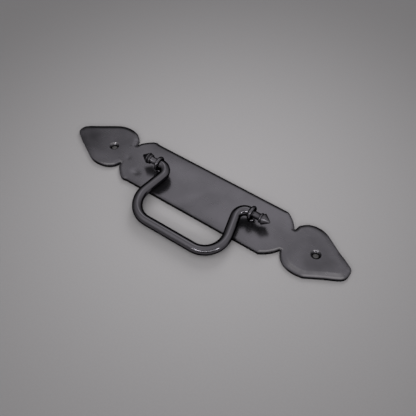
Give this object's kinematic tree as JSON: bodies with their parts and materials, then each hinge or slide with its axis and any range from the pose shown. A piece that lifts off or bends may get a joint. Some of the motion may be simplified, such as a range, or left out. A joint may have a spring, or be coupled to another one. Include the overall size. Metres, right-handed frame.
{
  "type": "drop bail pull",
  "caption": "Drop bail pull: a long flat backplate with leaf-shaped ends, and a bent round-rod bail that turns in riveted posts with pointed finials.",
  "frame": {"origin": "middle of the backplate, in its flat back face", "axes": "+X along the backplate, +Z out of the face that the bail stands on, -Y towards the side that the bail hangs to"},
  "size_m": [0.202, 0.0581, 0.0137],
  "materials": {
    "plate_iron": "satin near-black over smooth flat iron, slightly mottled",
    "post_iron": "satin near-black over turned iron",
    "bail_iron": "satin near-black over round iron rod, slightly rubbed on the grip"
  },
  "bodies": {
    "plate": {"backplate": "plate_iron", "left_post": "post_iron", "right_post": "post_iron"},
    "bail": {"bail": "bail_iron", "left_finial": "post_iron", "right_finial": "post_iron"}
  },
  "joints": [
    {"name": "bail_hinge", "type": "hinge", "parent": "plate", "child": "bail", "pos_m": [0, 0, 0.009], "axis": [-1, 0, 0], "range_deg": [0, 196.8]}
  ]
}
